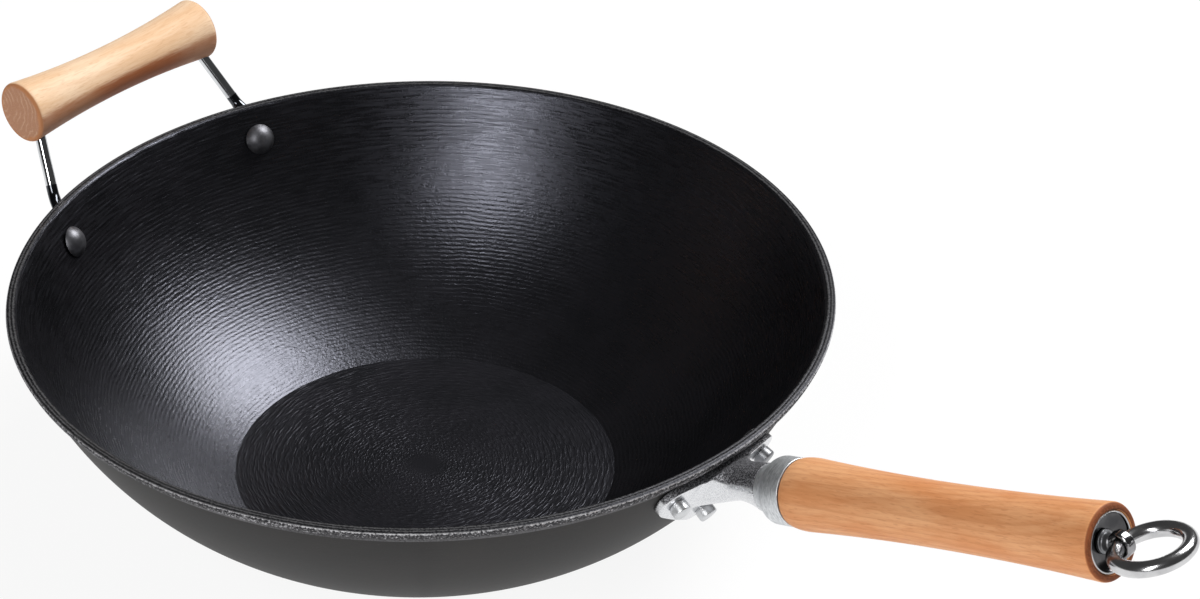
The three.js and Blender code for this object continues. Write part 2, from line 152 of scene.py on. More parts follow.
def rounded(corners, steps=5):
    # corners are (x, y) or (x, y, radius): each radius becomes a fillet
    points = []
    for i, (x, y, *fillet) in enumerate(corners):
        here = Vector((x, y))
        if not fillet:
            points.append((x, y))
            continue
        before = Vector(corners[i - 1][:2]) - here
        after = Vector(corners[i + 1][:2]) - here
        half = before.angle(after) / 2
        reach = min(fillet[0] / math.tan(half), 0.49 * before.length, 0.49 * after.length)
        bisector = (before.normalized() + after.normalized()).normalized()
        middle = here + bisector * (reach / math.cos(half))
        first = here + before.normalized() * reach - middle
        swing = first.angle_signed(here + after.normalized() * reach - middle)
        for step in range(steps + 1):
            points.append(tuple(middle + Matrix.Rotation(-swing * step / steps, 2) @ first))
    return points


def bezier(points, steps):
    made = []
    for i in range(steps + 1):
        row = [Vector(p) for p in points]
        while len(row) > 1:
            row = [a.lerp(b, i / steps) for a, b in zip(row, row[1:])]
        made.append(tuple(row[0]))
    return made


def lerp(first, second, share):
    return first + (second - first) * share


def smooth(share):
    share = min(max(share, 0), 1)
    return share * share * (3 - 2 * share)


def waisted(share, waistAt, start, waist, end):
    far, top = (0, start) if share < waistAt else (1, end)
    return waist + (top - waist) * ((share - waistAt) / (far - waistAt)) ** 2


# Meshes
def skinned(name, rows, finishes, place=None, bands=None, joined=False, sharp=40):
    # skin over rows of points in millimetres; a row of one point is a pole
    mesh = bpy.data.meshes.new(name)
    starts = [sum(len(row) for row in rows[:i]) for i in range(len(rows))]
    faces, indices = [], []
    for low in range(len(rows) if joined else len(rows) - 1):
        high = (low + 1) % len(rows)
        sides = max(len(rows[low]), len(rows[high]))
        for i in range(sides):
            turn = (i, (i + 1) % sides)
            lower = [starts[low] + k % len(rows[low]) for k in turn]
            upper = [starts[high] + k % len(rows[high]) for k in reversed(turn)]
            faces.append(list(dict.fromkeys(lower + upper)))
            indices.append(bands[high] if bands else 0)
    mesh.from_pydata([Vector(p) * mm for row in rows for p in row], [], faces)
    mesh.polygons.foreach_set("material_index", indices)
    work = bmesh.new()
    work.from_mesh(mesh)
    bmesh.ops.recalc_face_normals(work, faces=work.faces)
    work.to_mesh(mesh)
    work.free()
    for finish in finishes:
        mesh.materials.append(finish.material)
    mesh.polygons.foreach_set("use_smooth", [True] * len(mesh.polygons))
    mesh.set_sharp_from_angle(angle=math.radians(sharp))
    piece = bpy.data.objects.new(name, mesh)
    bpy.context.scene.collection.objects.link(piece)
    if place:
        piece.matrix_world = place
    return piece


def turned(name, profile, sides, finishes, place=None, **more):
    # profile of (radius, along) turned round the piece's own Z axis
    rows = []
    for radius, along in profile:
        turns = [2 * math.pi * i / sides for i in range(sides if radius > 1e-6 else 1)]
        rows.append([(radius * math.cos(t), radius * math.sin(t), along) for t in turns])
    return skinned(name, rows, finishes, place, **more)


def section(centre, along, facing, width, thickness, squareness, sides):
    across = facing.cross(along).normalized()
    through = along.cross(across).normalized()
    ring = []
    for i in range(sides):
        turn = 2 * math.pi * (i + 0.5) / sides
        c, s = math.cos(turn), math.sin(turn)
        w = math.copysign(abs(c) ** (2 / squareness), c) * width / 2
        t = math.copysign(abs(s) ** (2 / squareness), s) * thickness / 2
        ring.append(centre + across * w + through * t)
    return ring


def capped(rows):
    middles = [sum((Vector(p) for p in row), Vector()) / len(row) for row in (rows[0], rows[-1])]
    return [[middles[0]], *rows, [middles[1]]]


def standIn(piece, node, body="wok"):
    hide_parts(node)
    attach(piece, body)


def axes(along, up, origin):
    # piece frame with Z along and X up
    z, x = Vector(along).normalized(), Vector(up).normalized()
    turn = Matrix((x, z.cross(x), z)).transposed().to_4x4()
    return Matrix.Translation(Vector(origin) * mm) @ turn


# Bowl
seatGap = 0.3
bowl = {
    "rimRadius": 178,
    "height": 96.5,
    "baseRadius": 82.4,
    "wall": 3.3,
    "floor": 4,
    "bulge": 13.1,
    "lipOverhang": 5.6,
    "lipFlank": 3.6,
    "lipLean": 1.6,
    "lipUndercut": 2.4,
    "lipWidth": 4.4,
    "lipRound": 1.8,
    "lipFootRounds": (1.6, 0.7),  # where the wall meets the lip, and under its flank
    "lipEdgeRound": 0.8,
    "lipChamfer": 1,
    "lipFlare": 20,  # depth over which the inner wall opens out to the lip
    "baseRound": 2.2,
    "floorRound": 1.2,
    "sides": 288,
    "wallSteps": 48,
}
iron = {
    "insideDark": srgb(9, 9, 10),
    "insideLight": srgb(15, 14, 16),
    "sheen": (0.82, 0.84, 1.0, 1.0),
    "insideRoughness": 0.29,
    "insideSpecular": 0.68,
    "gritGloss": 0.24,
    "strokes": 34,  # noise cells per radian round the bowl
    "lines": 16,
    "flecks": 80,
    "ridgePitch": 2.0,
    "ridgeDepth": 0.15,
    "floorDark": srgb(13, 13, 15),
    "floorLight": srgb(19, 18, 21),
    "floorRoughness": 0.36,
    "floorSpecular": 0.38,
    "floorStrokes": 12,
    "floorPitch": 2.6,
    "floorDepth": 0.16,
    "outsideDark": srgb(29, 28, 28),
    "outsideLight": srgb(40, 38, 37),
    "outsideGrain": srgb(80, 77, 74),
    "outsideSpecular": 0.3,
    "rimDark": srgb(10, 10, 11),
    "rimLight": srgb(17, 17, 18),
    "rimFlank": srgb(50, 49, 50),
    "rimWearAndHighlight": srgb(232, 231, 234),
    "rimSpecular": 0.18,
    "rimPitch": 1.5,
}

wallFoot = Vector((bowl["baseRadius"], 0))
lipFoot = bowl["height"] - bowl["lipFlank"] - bowl["lipUndercut"]
wallTop = Vector((bowl["rimRadius"] - bowl["lipOverhang"], lipFoot))
wallChord = wallTop - wallFoot
wallRadius = (wallChord.length_squared / 4 + bowl["bulge"] ** 2) / (2 * bowl["bulge"])
wallInward = Vector((-wallChord.y, wallChord.x)).normalized()
wallCentre = (wallFoot + wallTop) / 2 + wallInward * (wallRadius - bowl["bulge"])
innerRadius = wallRadius - bowl["wall"]


def wallAngle(height, radius):
    return math.asin((height - wallCentre.y) / radius)


def wallSeat(azimuth, drop):
    # place and outward normal on the outside of the wall, at a distance below the lip
    angle = wallAngle(wallTop.y, wallRadius) - drop / wallRadius
    out = Vector((math.cos(azimuth), math.sin(azimuth), 0))
    up = Vector((0, 0, 1))
    normal = out * math.cos(angle) + up * math.sin(angle)
    return out * wallCentre.x + up * wallCentre.y + normal * wallRadius, normal


def roundBowl(finish):
    x, y, z = finish.split("Object")
    radius = (x * x + y * y + 1e-8) ** 0.5
    return z / mm, radius / mm, x / radius, y / radius


def insideIron():
    finish = Finish("insideIron")
    z, radius, east, north = roundBowl(finish)
    run = (z - wallCentre.y).math("ARCTAN2", radius - wallCentre.x) * innerRadius  # along the wall
    pitch, low = iron["ridgePitch"], (z / bowl["height"]).between(0.95, 0.4)

    def cells(kind, share):  # noise drawn out round the bowl, share of the pitch across
        return finish.noise(east * iron[kind], north * iron[kind], run / (share * pitch))

    drift = finish.noise(east * 6, north * 6, run / 18)
    ridge = (run / pitch + drift * 1.3).wave()
    strokes, lines, flecks = cells("strokes", 0.65), cells("lines", 0.4), cells("flecks", 0.5)
    fine = finish.grain(0.7)
    height = ridge * (low * 0.05 + 0.16) + strokes * (low * 0.8 + 0.2) + lines * (1.2 - low)
    height = height + flecks * (low * 0.4 + 0.4) + fine * 0.6
    grit = (lines * 2 + fine - 1.5) * (1.0 - low * 0.7)
    mottle = finish.grain(33, detail=4)
    tone = finish.blend(mottle.between(0.3, 0.7), iron["insideDark"], iron["insideLight"])
    finish.set(
        Base_Color=tone,
        Roughness=mottle * 0.08 + grit * iron["gritGloss"] + (iron["insideRoughness"] - 0.04),
        Specular_Tint=iron["sheen"],
        Specular_IOR_Level=iron["insideSpecular"],
        Normal=finish.bump(height, 0.8, iron["ridgeDepth"]),
    )
    return finish


def floorIron():
    finish = Finish("floorIron")
    z, radius, east, north = roundBowl(finish)
    pitch, cells = iron["floorPitch"], iron["floorStrokes"]
    drift = finish.noise(east * 5, north * 5, radius / 20)
    swirl = (radius / pitch + drift * 0.9).wave()
    strokes = finish.noise(east * cells, north * cells, radius / (0.35 * pitch), detail=1)
    height = swirl * 0.15 + strokes.between(0.4, 0.75) * 0.9
    height = height * (radius / 14).between(0.2, 1) + finish.grain(0.8) * 0.15
    mottle = finish.grain(30, detail=4)
    tone = finish.blend(mottle.between(0.3, 0.7), iron["floorDark"], iron["floorLight"])
    finish.set(
        Base_Color=tone,
        Roughness=mottle * 0.08 + (iron["floorRoughness"] - 0.04),
        Specular_Tint=iron["sheen"],
        Specular_IOR_Level=iron["floorSpecular"],
        Normal=finish.bump(height, 0.8, iron["floorDepth"]),
    )
    return finish


def outsideIron():
    finish = Finish("outsideIron")
    z, radius, east, north = roundBowl(finish)
    grain = finish.grain(1.0, detail=4, roughness=0.65)
    lines = finish.noise(east * 4, north * 4, z / 1.2)
    mottle = finish.grain(45, detail=4)
    tone = finish.blend(mottle.between(0.3, 0.72), iron["outsideDark"], iron["outsideLight"])
    tone = finish.blend(grain.between(0.58, 0.78) * 0.4, tone, iron["outsideGrain"])
    finish.set(
        Base_Color=tone,
        Roughness=mottle * 0.1 + grain * 0.1 + 0.48,
        Specular_IOR_Level=iron["outsideSpecular"],
        Normal=finish.bump(grain * 0.7 + finish.grain(4.2) * 0.5 + lines * 0.3, 0.4, 0.14),
    )
    return finish


def rimIron():
    finish = Finish("rimIron")
    z, radius, east, north = roundBowl(finish)
    drift = finish.noise(east * 3, north * 3, radius / 9)
    rings = ((radius - z * 0.5) / iron["rimPitch"] + drift * 0.5).wave() * 0.5 + 0.5
    grain = finish.grain(0.9, roughness=0.7)
    drop = bowl["height"] - z
    outer = drop.between(0.25, 0.9) * (bowl["rimRadius"] - radius).between(4.0, 2.5)  # outer corner: wear specks, made bright as a painted highlight on the band that faces the front lamp
    specks = (grain * 0.8 + rings * 0.2).between(0.4, 0.64)
    mottle = finish.grain(25)
    tone = finish.blend(mottle.between(0.3, 0.7), iron["rimDark"], iron["rimLight"])
    tone = finish.blend(drop.between(0.4, 1.6), tone, iron["rimFlank"])
    # bright specks on the outer corner: wear and painted highlight
    tone = finish.blend(specks * (outer * 0.8 + 0.1), tone, iron["rimWearAndHighlight"])
    finish.set(
        Base_Color=tone,
        Metallic=specks * outer * 0.8,
        Roughness=outer * 0.2 + 0.42 - specks * 0.1,
        Specular_Tint=iron["sheen"],
        Specular_IOR_Level=iron["rimSpecular"],
        Normal=finish.bump(rings * 0.8 + grain * (outer * 1.8 + 0.4), 0.8, 0.2),
    )
    return finish


def makeBowl():
    rim, height, floor = bowl["rimRadius"], bowl["height"], bowl["floor"]
    steps = bowl["wallSteps"]
    outer = arcPoints(wallCentre, wallRadius, wallAngle(0, wallRadius), wallAngle(lipFoot, wallRadius), steps)
    lipEdge, soft = rim - bowl["lipWidth"], bowl["lipEdgeRound"]
    footRound, flankRound = bowl["lipFootRounds"]
    chamfer = (lipEdge - bowl["lipChamfer"], height - bowl["lipChamfer"])
    ends = [wallAngle(level, innerRadius) for level in (chamfer[1], floor)]
    inside = arcPoints(wallCentre, innerRadius, *ends, steps)
    spread, foot = chamfer[0] - inside[0][0], chamfer[1] - bowl["lipFlare"]
    inside = [(r + spread * max(0, (z - foot) / bowl["lipFlare"]) ** 2, z) for r, z in inside]
    under = rounded([(0, 0), (*outer[0], bowl["baseRound"]), outer[3]])[:-1]
    lip = rounded(
        [
            outer[-2],
            (*outer[-1], footRound),
            (rim - bowl["lipLean"], height - bowl["lipFlank"], flankRound),
            (rim, height, bowl["lipRound"]),
            (lipEdge, height, soft),
            chamfer,
        ],
        8,
    )[1:-1]
    flare = rounded([(lipEdge, height), (*chamfer, soft), inside[1]])[1:-1]
    edge = rounded([inside[-3], (*inside[-1], bowl["floorRound"]), (0, floor)])[1:-1]
    disc = [(inside[-1][0] * share, floor) for share in (0.94, 0.8, 0.6, 0.4, 0.2, 0.06, 0)]
    parts = [under + outer[3:-1], lip, flare + inside[1:-2] + edge[:3], edge[3:] + disc]
    profile = [point for part in parts for point in part]
    bands = [band for band, part in enumerate(parts) for _ in part]
    finishes = [outsideIron(), rimIron(), insideIron(), floorIron()]
    piece = turned("wokBowl", profile, bowl["sides"], finishes, bands=bands, sharp=50)
    standIn(piece, "wok_bowl")


makeBowl()
print("bowl made")

# Wood
paleWood = {
    "light": srgb(242, 212, 180),
    "dark": srgb(232, 192, 152),
    "late": srgb(214, 166, 124),
    "pore": srgb(202, 150, 108),
    "end": srgb(178, 130, 102),
    "endLine": srgb(204, 168, 140),
    "border": (11.2, 12.8),  # sanded edge of the end, as radii
    "borderTone": srgb(190, 126, 80),
    "pith": (-13, -1),
    "lean": 0.01,  # drift of the pith along the grip
    "ringPitch": 3.4,
    "wander": 1.4,
    "ringDepth": 0.16,
    "fibreDepth": 0.28,
    "poreDepth": 0.28,
    "roughness": 0.54,
    "specular": 0.22,
    # dark streak and painted shade on the lower side: direction across the grip, edge as its cosine, middle
    # and half length along it
    "streakAndShade": {"across": (0.55, 0.835), "edge": (0.22, 0.5), "middle": 8, "half": 34},
    "streakAndShadeTone": srgb(158, 72, 12),
}
warmWood = {
    "light": srgb(230, 172, 124),
    "dark": srgb(217, 148, 97),
    "late": srgb(186, 110, 62),
    "pore": srgb(172, 100, 58),
    "end": srgb(116, 64, 38),
    "endLine": srgb(142, 88, 56),
    "border": (14.0, 15.2),
    "borderTone": srgb(150, 84, 46),
    "pith": (10, 24),
    "lean": 0.09,
    "ringPitch": 3.0,
    "wander": 2.6,
    "ringDepth": 0.24,
    "fibreDepth": 0.19,
    "poreDepth": 0.24,
    "roughness": 0.52,
    "specular": 0.22,
    "streakAndShade": None,
}


def woodFinish(name, look):
    finish = Finish(name)
    x, y, z = [part / mm for part in finish.split("Object")]
    dx, dy = x - look["pith"][0], y - look["pith"][1] + z * look["lean"]
    sway = finish.noise(x / 33, y / 33, z / 110, detail=3) - 0.5
    ring = (dx * dx + dy * dy) ** 0.5 / look["ringPitch"] + sway * look["wander"]
    part = ring.math("FRACT")
    late = part.between(0.3, 0.88) * (1 - part.between(0.88, 1.0))
    fibre = finish.noise(x / 0.85, y / 0.85, z / 11, detail=3, roughness=0.6)
    pores = finish.noise(x / 0.65, y / 0.65, z / 4.5, detail=1).between(0.56, 0.72)
    clouds = finish.noise(x / 11, y / 11, z / 45, detail=3) * 0.8 + fibre * 0.2
    tone = finish.blend(clouds.between(0.34, 0.66), look["light"], look["dark"])
    tone = finish.blend(late * look["ringDepth"], tone, look["late"])
    tone = finish.blend(fibre.between(0.42, 0.75) * look["fibreDepth"], tone, look["late"])
    tone = finish.blend(pores * look["poreDepth"], tone, look["pore"])
    if look["streakAndShade"]:
        streakAndShade = look["streakAndShade"]
        across = x * streakAndShade["across"][0] + y * streakAndShade["across"][1]
        turn = across / (x * x + y * y + 1e-8) ** 0.5 + sway * 0.3 + (fibre - 0.5) * 0.2
        reach = ((z - streakAndShade["middle"]) / streakAndShade["half"]).math("ABSOLUTE") + sway * 0.8
        # the lower side is darkened all along as painted shade, more so round the streak in the middle
        mask = turn.between(*streakAndShade["edge"]) * (reach.between(1.0, 0.35) * 0.25 + 0.75)
        tone = finish.blend(mask * 0.85, tone, look["streakAndShadeTone"])
    ends = finish.split("Normal")[2].math("ABSOLUTE").between(0.3, 0.65)
    swirl = finish.grain(7, detail=3)
    lines = ((ring * 1.3 + swirl * 2.0).math("FRACT") * 2 - 1).math("ABSOLUTE").between(0.5, 1.0)
    patches = finish.grain(9, detail=2).between(0.38, 0.6)
    specks = finish.grain(0.7, detail=2).between(0.45, 0.7)
    endTone = finish.blend(specks * 0.3, look["end"], look["late"])
    endTone = finish.blend(lines * patches * 0.75, endTone, look["endLine"])
    border = ((x * x + y * y) ** 0.5 + (swirl - 0.5) * 4).between(*look["border"])
    endTone = finish.blend(border * 0.8, endTone, look["borderTone"])
    finish.set(
        Base_Color=finish.blend(ends, tone, endTone),
        Roughness=fibre * 0.14 + ends * 0.15 + (look["roughness"] - 0.06),
        Specular_IOR_Level=look["specular"],
        Normal=finish.bump(fibre * 0.6 - pores * 0.4, 0.3, 0.06),
    )
    return finish


# Metals
steels = {
    # light tone, dark tone, roughness
    "brightSteel": (srgb(216, 218, 220), srgb(196, 198, 201), 0.05),
    "ringSteel": (srgb(212, 212, 213), srgb(186, 186, 188), 0.14),
    "paleSteel": (srgb(222, 223, 225), srgb(196, 198, 200), 0.36),
    "darkSteel": (srgb(86, 88, 92), srgb(62, 64, 68), 0.08),
    # eyeSteel is a darker copy of brightSteel: painted dark reflection on the hanger eye
    "eyeSteel": (srgb(156, 155, 157), srgb(116, 116, 118), 0.1),
    # cupSteel is darkened to stand in for the chrome cup's dark reflection: painted reflection
    "cupSteel": (srgb(92, 91, 92), srgb(68, 68, 70), 0.1),
    # a darker copy of paleSteel: painted shade for the far yoke rivet and for the tie rod in the cup
    "shadedSteel": (srgb(152, 153, 156), srgb(120, 121, 124), 0.36),
}
metals = {
    "castClean": (srgb(214, 215, 218), srgb(236, 237, 239)),
    "castShadedSkin": (srgb(56, 56, 59), srgb(150, 150, 154)),
    "brushed": (srgb(196, 199, 202), srgb(234, 236, 238)),
    "brushedDent": srgb(150, 153, 156),
    "rivet": (srgb(84, 84, 88), srgb(122, 122, 127)),
}


def polishedSteel(name, light, dark, roughness):
    finish = Finish(name)
    smudge = finish.grain(8, detail=4)
    finish.set(
        Base_Color=finish.blend(smudge.between(0.35, 0.7), light, dark),
        Metallic=1.0,
        Roughness=smudge * 0.1 + roughness,
        Normal=finish.bump(finish.grain(1.4), 0.1, 0.06),
    )
    return finish


def castMetal():
    finish = Finish("castMetal")
    skin = finish.grain(0.6, detail=2, roughness=0.6)
    lumps = finish.grain(5)
    top = finish.split("Normal")[2].between(0.26, 0.42)  # upper faces keep the rough skin of the mould, and their darker tone is painted shade
    specks = skin.between(0.42, 0.64)
    tone = finish.blend(specks, *metals["castClean"])
    # darker copy of the metal for the upper faces: painted shade on a rough skin
    shadedSkinTone = finish.blend(specks, *metals["castShadedSkin"])
    finish.set(
        Base_Color=finish.blend(top, tone, shadedSkinTone),
        Metallic=1 - top * 0.5,
        Roughness=top * 0.16 + skin * 0.08 + 0.24,
        Normal=finish.bump(skin * (top * 1.1 + 0.06) + lumps * 0.14, 0.7, 0.24),
    )
    return finish


def brushedMetal():
    finish = Finish("brushedMetal")
    x, y, z = [part / mm for part in finish.split("Object")]
    radius = (x * x + y * y + 0.01) ** 0.5
    east, north = x / radius, y / radius
    lines = finish.noise(east * 5, north * 5, z / 0.55, detail=3, roughness=0.65)
    dents = finish.grain(2.2)
    tone = finish.blend(lines.between(0.3, 0.7), *metals["brushed"])
    tone = finish.blend(dents.between(0.58, 0.8) * 0.5, tone, metals["brushedDent"])
    finish.set(
        Base_Color=tone,
        Metallic=1.0,
        Roughness=lines * 0.16 + dents * 0.08 + 0.4,
        Normal=finish.bump(lines * 0.9 + dents * 0.3, 0.45, 0.11),
    )
    return finish


def rivetSteel():
    finish = Finish("rivetSteel")
    skin = finish.grain(1.5, detail=4)
    worn = finish.grain(6)
    finish.set(
        Base_Color=finish.blend(worn.between(0.35, 0.7), *metals["rivet"]),
        Metallic=0.85,
        Roughness=skin * 0.14 + 0.38,
        Normal=finish.bump(skin, 0.2, 0.1),
    )
    return finish


finishes = {
    "paleWood": woodFinish("paleWood", paleWood),
    "warmWood": woodFinish("warmWood", warmWood),
    "castMetal": castMetal(),
    "brushedMetal": brushedMetal(),
    "rivetSteel": rivetSteel(),
}
finishes |= {name: polishedSteel(name, *look) for name, look in steels.items()}
print("finishes made:", ", ".join(finishes))

# Rivets
rivets = {
    "diameter": 6.4,
    "headDiameter": 14,
    "tailDiameter": 8.2,
    "tailLength": 4.4,
    "tailRound": 0.9,
    "rimRound": 0.3,
    "stemRound": 0.1,
    "facetRise": 0.21,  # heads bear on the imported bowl's facets
    "sides": 64,
    "domeSteps": 14,
}


def makeRivet(names, seat, headHeight, clamped, finish):
    name, node, slot = names
    place, normal = seat
    stem, head, tail = rivets["diameter"] / 2, rivets["headDiameter"] / 2, rivets["tailDiameter"] / 2
    headSeat = -bowl["wall"] - head**2 / (2 * innerRadius) - rivets["facetRise"] - seatGap
    tailSeat = clamped + seatGap
    tailEnd = tailSeat + rivets["tailLength"]
    dome = (head**2 + headHeight**2) / (2 * headHeight)
    edge = math.asin(head / dome) - math.pi / 2
    cap = arcPoints((0, headSeat - headHeight + dome), dome, -math.pi / 2, edge, rivets["domeSteps"])
    soft, fine = rivets["rimRound"], rivets["stemRound"]
    body = rounded(
        [
            cap[-2],
            (head, headSeat, soft),
            (stem, headSeat, fine),
            (stem, tailSeat, fine),
            (tail, tailSeat, soft),
            (tail, tailEnd, rivets["tailRound"]),
            (0, tailEnd),
        ]
    )
    up = Vector((0, 0, 1)) - normal * normal.z
    profile = [(0, cap[0][1])] + cap[1:-2] + body
    piece = turned(name, profile, rivets["sides"], [finish], axes(normal, up, place))
    standIn(piece, node)


# Helper handle
helper = {
    "length": 106.4,
    "endDiameter": 28.6,
    "waistDiameter": 22.2,
    "endRound": 2.4,
    "outset": 19.2,
    "rise": 29.5,
    "legDiameter": 5,
    "legInset": 7.6,
    "legPlug": 4,
    "kneeOutset": 6.7,
    "kneeDrop": 1.5,
    "kneeAzimuth": 17.4,
    "footAzimuth": 20.7,
    "footDrift": 2.3,
    "footDrop": 9.4,
    "footWidth": 12.5,
    "footHeelWidth": 10,
    "footTipWidth": 5.2,
    "footThickness": 2.6,
    "headHeight": 4.2,
    "rodRows": (0, 0.2, 0.4, 0.6, 0.8, 0.93),  # shares of the way to the knee
    "squareness": (2, 5),  # of the rod and of the foot
    "gripSides": 96,
    "flankSteps": 48,
    "roundSteps": 8,
    "legSides": 40,
    "bendSteps": 28,
    "tipSteps": 16,
}
helperAxis = Vector((-bowl["rimRadius"] - helper["outset"], 0, bowl["height"] + helper["rise"]))


def makeHelperGrip():
    half = helper["length"] / 2
    waist, end = helper["waistDiameter"] / 2, helper["endDiameter"] / 2
    sweep = (half**2 + (end - waist) ** 2) / (2 * (end - waist))
    bow = math.asin(half / sweep)
    flank = arcPoints((waist + sweep, 0), sweep, math.pi + bow, math.pi - bow, helper["flankSteps"])
    shares = (0, 0.25, 0.5, 0.75)
    soft, steps = helper["endRound"], helper["roundSteps"]
    near = rounded([(0, -half), (end, -half, soft), flank[2]], steps)[1:-1]
    far = rounded([flank[-3], (end, half, soft), (0, half)], steps)[1:-1]
    nearDisc = [(end * share, -half) for share in shares]
    farDisc = [(end * share, half) for share in reversed(shares)]
    profile = nearDisc + near + flank[2:-2] + far + farDisc
    place = axes((0, 1, 0), (1, 0, 0), helperAxis)
    piece = turned("helperGrip", profile, helper["gripSides"], [finishes["paleWood"]], place)
    standIn(piece, "helper_grip")


def footSeat(side):
    azimuth = math.pi + math.radians(helper["footDrift"] - side * helper["footAzimuth"])
    return wallSeat(azimuth, helper["footDrop"])


def makeHelperLeg(name, node, side):
    # round rod from the grip to the knee, pressed flat below it to a foot on the wall
    azimuth = math.pi - side * math.radians(helper["kneeAzimuth"])
    knee = Vector((math.cos(azimuth), math.sin(azimuth), 0)) * (bowl["rimRadius"] + helper["kneeOutset"])
    knee.z = bowl["height"] - helper["kneeDrop"]
    top = helperAxis + Vector((0, side * (helper["length"] / 2 - helper["legInset"]), 0))
    along = (knee - top).normalized()
    start = top - along * helper["legPlug"]
    place, normal = footSeat(side)
    foot = place + normal * (seatGap + helper["footThickness"] / 2)
    run = foot - knee
    down = (run - normal * run.dot(normal)).normalized()
    radius = helper["footWidth"] / 2
    heel = foot - down * radius
    pull = (heel - knee).length / 3
    pulls = (knee, knee + along * pull, heel - down * pull, heel)
    bend = [Vector(p) for p in bezier(pulls, helper["bendSteps"])]
    rod, flat, sides = helper["legDiameter"], helper["footThickness"], helper["legSides"]
    circle, square = helper["squareness"]
    middles = [start.lerp(knee, share) for share in helper["rodRows"]]
    rows = [section(middle, along, normal, rod, rod, circle, sides) for middle in middles]
    for i, centre in enumerate(bend):
        heading = bend[min(i + 1, len(bend) - 1)] - bend[max(i - 1, 0)]
        pressed = smooth(i / helper["bendSteps"])
        width, depth = lerp(rod, helper["footHeelWidth"], pressed), lerp(rod, flat, pressed)
        rows.append(section(centre, heading, normal, width, depth, lerp(circle, square, pressed), sides))
    tipAngle = math.pi - math.asin(helper["footTipWidth"] / helper["footWidth"])
    for i in range(1, helper["tipSteps"] + 1):
        turn = tipAngle * i / helper["tipSteps"]
        distance = -radius * math.cos(turn)
        width = max(helper["footWidth"] * math.sin(turn), helper["footHeelWidth"] if distance < 0 else 0)
        rows.append(section(foot + down * distance, down, normal, width, flat, square, sides))
    skin, bright = capped(rows), len(middles) + 1
    bands = [0] * bright + [1] * (len(skin) - bright)  # the pressed end is dark
    piece = skinned(name, skin, [finishes["brightSteel"], finishes["darkSteel"]], bands=bands)
    standIn(piece, node)


makeHelperGrip()
for word, side in (("Left", -1), ("Right", 1)):
    makeHelperLeg("helperLeg" + word, "helper_leg_" + word.lower(), side)
    clamped = seatGap + helper["footThickness"]
    names = ("helperRivet" + word, "helper_rivet_" + word.lower(), "rivet_steel")
    makeRivet(names, footSeat(side), helper["headHeight"], clamped, finishes["rivetSteel"])
print("helper handle made")

# Long handle: measured along its axis from the wall
handle = {
    "slope": 18.9,
    "earAzimuth": 8.5,
    "earDrop": 10.1,
    "earRadius": 8.7,
    "toeDrop": 20.7,
    "toeRadius": 9,
    "saddleThickness": 3.6,
    "saddleRound": 0.6,
    "rootDrop": 3.5,
    "neckLength": 32,
    "neckDiameter": 20.4,
    "neckRootWidth": 38,
    "neckRootDepth": 22,
    "neckWaistWidth": 18.6,
    "neckWaistDepth": 15.8,
    "neckWaistAt": 0.6,
    "neckArch": 1.8,
    "neckSquareness": (5, 2),  # at the root and at the waist
    "castingCell": 0.32,  # of the skin that joins saddle and neck
    "castingRounds": 3,
    "rivetHead": 1.6,
    "rodSocket": 18,
    "bore": 0.35,
    "ferruleLength": 16.6,
    "ferruleDiameter": 28.2,
    "ferruleCollar": 0.8,
    "ferruleCone": 8,
    "tenonLength": 7,
    "tenonDiameter": 24.2,
    "gripLength": 159,
    "frontDiameter": 29.8,
    "waistDiameter": 26.2,
    "endDiameter": 30.8,
    "waistAt": 0.45,
    "shoulderLength": 8,
    "shoulderDrop": 1.4,
    "endRound": 2,
    "rodDiameter": 7,
    "cupDiameter": 24.4,
    "cupInset": 1.5,
    "cupDepth": 3,
    "cupThickness": 1,
    "cupFlat": 11,
    "cupBead": (1.0, 0.9),  # rise and width of the rolled rim
    "collarDiameter": 9.8,
    "collarThickness": 1.4,
    "eyeReach": 4.2,
    "eyeHole": 7.2,
    "eyeDiameter": 11,
    "eyeThickness": 4.4,
    "eyeRound": 0.9,
    "ringDiameter": 29.2,
    "ringWire": 6.4,
    "eyeRoll": 5,
    "sides": 112,
    "neckSides": 96,
    "rodSides": 64,
    "eyeSides": 72,
    "ringSides": 128,
    "wireSides": 40,
    "neckSteps": 40,
    "flankSteps": 56,
    "curveSteps": 14,
}
handleRoot, rootNormal = wallSeat(0, handle["earDrop"] + handle["rootDrop"])
slope = math.radians(handle["slope"])
handleAlong = Vector((math.cos(slope), 0, math.sin(slope)))
handleUp = Vector((-math.sin(slope), 0, math.cos(slope)))
handlePlace = axes(handleAlong, handleUp, handleRoot)
hangerPlace = handlePlace @ Matrix.Rotation(math.radians(handle["eyeRoll"]), 4, "Z")
ferruleStart = handle["neckLength"] + seatGap
gripStart = ferruleStart + handle["ferruleLength"] + seatGap
gripEnd = gripStart + handle["gripLength"]
cupFloor = gripEnd - handle["cupInset"] - handle["cupDepth"]
rodStart = handle["neckLength"] - handle["rodSocket"]
eyeCentre = gripEnd + handle["eyeReach"]
boreRadius = handle["rodDiameter"] / 2 + handle["bore"]
saddleSeats = {
    "Left": wallSeat(-math.radians(handle["earAzimuth"]), handle["earDrop"]),
    "Lower": wallSeat(0, handle["earDrop"] + handle["toeDrop"]),
    "Right": wallSeat(math.radians(handle["earAzimuth"]), handle["earDrop"]),
}


